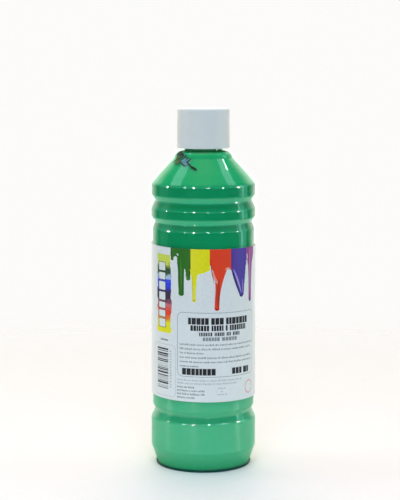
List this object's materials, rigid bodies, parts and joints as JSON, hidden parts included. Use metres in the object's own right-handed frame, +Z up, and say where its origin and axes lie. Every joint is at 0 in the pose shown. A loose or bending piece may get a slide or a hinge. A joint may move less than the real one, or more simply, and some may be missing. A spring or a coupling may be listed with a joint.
{
  "type": "screw-cap paint bottle",
  "caption": "Clear ribbed squeeze bottle of green poster paint with a wrap-around label, a threaded neck, a pouring plug and a white screw cap that turns up and off.",
  "frame": {"origin": "centre of the base on the surface that the bottle stands on", "axes": "+Z up along the bottle's axis; -Y out of the front of the label; +X to the right seen from the front"},
  "size_m": [0.0654, 0.0654, 0.217],
  "materials": {
    "clear_bottle": "clear blow-moulded plastic, glossy",
    "green_paint": "wet green poster paint, opaque and glossy",
    "label_paper": "white printed film, satin",
    "soft_plastic": "soft milky moulded plastic",
    "white_cap": "white moulded plastic, satin",
    "foam_liner": "fine closed-cell foam"
  },
  "bodies": {
    "bottle": {"bottle": "clear_bottle", "paint": "green_paint", "label": "label_paper", "pour_plug": "soft_plastic"},
    "liner": {"cap_liner": "foam_liner"},
    "cap": {"cap": "white_cap"}
  },
  "joints": [
    {"name": "cap_lift", "type": "slide", "parent": "bottle", "child": "liner", "axis": [0, 0, 1], "range_m": [0, 0.0212]},
    {"name": "cap_turn", "type": "hinge", "parent": "liner", "child": "cap", "pos_m": [0, 0, 0.2], "axis": [0, 0, 1], "range_deg": [0, 1800]}
  ],
  "couplings": [
    {"joint": "cap_lift", "follows": "cap_turn", "m_per_rad": 0.0006737}
  ]
}
